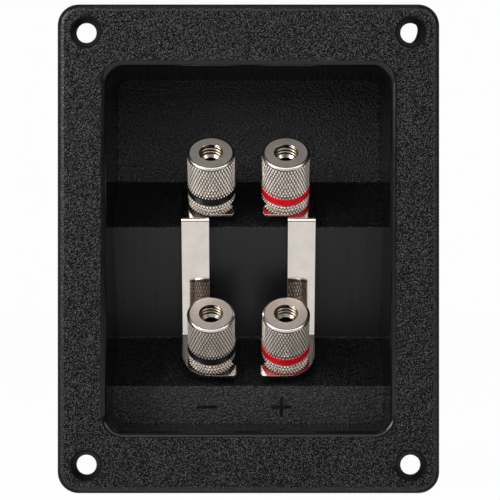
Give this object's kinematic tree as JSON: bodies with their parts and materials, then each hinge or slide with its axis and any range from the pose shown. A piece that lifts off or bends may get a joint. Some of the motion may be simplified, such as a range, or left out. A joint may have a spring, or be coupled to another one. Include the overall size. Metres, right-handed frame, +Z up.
{
  "type": "terminal cup",
  "caption": "Black moulded loudspeaker terminal cup: a screwed flange round a stepped recess, with knurled screw binding posts, polarity rings and folded jumper bars.",
  "frame": {"origin": "centre of the four flange screw holes, on the flange's rear face", "axes": "+X to the right as seen from the room, +Z up, -Y out of the panel towards the room"},
  "size_m": [0.0954, 0.0377, 0.1222],
  "materials": {
    "black_moulding": "fine spark-eroded grain",
    "nickel_turned": "nickel plated",
    "nickel_sheet": "bright nickel plated",
    "black_ring": "gloss",
    "red_ring": "gloss",
    "tinned_tag": "tin plated",
    "zinc_steel": "zinc plated"
  },
  "bodies": {
    "cup": {"cup_housing": "black_moulding", "upper_left_stud": "nickel_turned", "upper_left_solder_tag": "tinned_tag", "upper_right_stud": "nickel_turned", "upper_right_solder_tag": "tinned_tag", "lower_left_stud": "nickel_turned", "lower_left_solder_tag": "tinned_tag", "lower_right_stud": "nickel_turned", "lower_right_solder_tag": "tinned_tag", "left_jumper": "nickel_sheet", "right_jumper": "nickel_sheet", "lock_washers": "zinc_steel", "rear_nuts": "zinc_steel"},
    "upper_left_ring": {"upper_left_ring": "black_ring"},
    "upper_left_knob": {"upper_left_knob": "nickel_turned"},
    "upper_right_ring": {"upper_right_ring": "red_ring"},
    "upper_right_knob": {"upper_right_knob": "nickel_turned"},
    "lower_left_ring": {"lower_left_ring": "black_ring"},
    "lower_left_knob": {"lower_left_knob": "nickel_turned"},
    "lower_right_ring": {"lower_right_ring": "red_ring"},
    "lower_right_knob": {"lower_right_knob": "nickel_turned"}
  },
  "joints": [
    {"name": "upper_left_lift", "type": "slide", "parent": "cup", "child": "upper_left_ring", "axis": [0, -0.7071, 0.7071], "range_m": [0, 0.005]},
    {"name": "upper_left_turn", "type": "hinge", "parent": "upper_left_ring", "child": "upper_left_knob", "pos_m": [-0.00953, 0.02003, 0.01153], "axis": [0, -0.7071, 0.7071], "range_deg": [0, 1800]},
    {"name": "upper_right_lift", "type": "slide", "parent": "cup", "child": "upper_right_ring", "axis": [0, -0.7071, 0.7071], "range_m": [0, 0.005]},
    {"name": "upper_right_turn", "type": "hinge", "parent": "upper_right_ring", "child": "upper_right_knob", "pos_m": [0.00953, 0.02003, 0.01153], "axis": [0, -0.7071, 0.7071], "range_deg": [0, 1800]},
    {"name": "lower_left_lift", "type": "slide", "parent": "cup", "child": "lower_left_ring", "axis": [0, -0.7071, 0.7071], "range_m": [0, 0.005]},
    {"name": "lower_left_turn", "type": "hinge", "parent": "lower_left_ring", "child": "lower_left_knob", "pos_m": [-0.00953, 0.02003, -0.02927], "axis": [0, -0.7071, 0.7071], "range_deg": [0, 1800]},
    {"name": "lower_right_lift", "type": "slide", "parent": "cup", "child": "lower_right_ring", "axis": [0, -0.7071, 0.7071], "range_m": [0, 0.005]},
    {"name": "lower_right_turn", "type": "hinge", "parent": "lower_right_ring", "child": "lower_right_knob", "pos_m": [0.00953, 0.02003, -0.02927], "axis": [0, -0.7071, 0.7071], "range_deg": [0, 1800]}
  ],
  "couplings": [
    {"joint": "upper_left_lift", "follows": "upper_left_turn", "m_per_rad": 0.00015915},
    {"joint": "upper_right_lift", "follows": "upper_right_turn", "m_per_rad": 0.00015915},
    {"joint": "lower_left_lift", "follows": "lower_left_turn", "m_per_rad": 0.00015915},
    {"joint": "lower_right_lift", "follows": "lower_right_turn", "m_per_rad": 0.00015915}
  ]
}
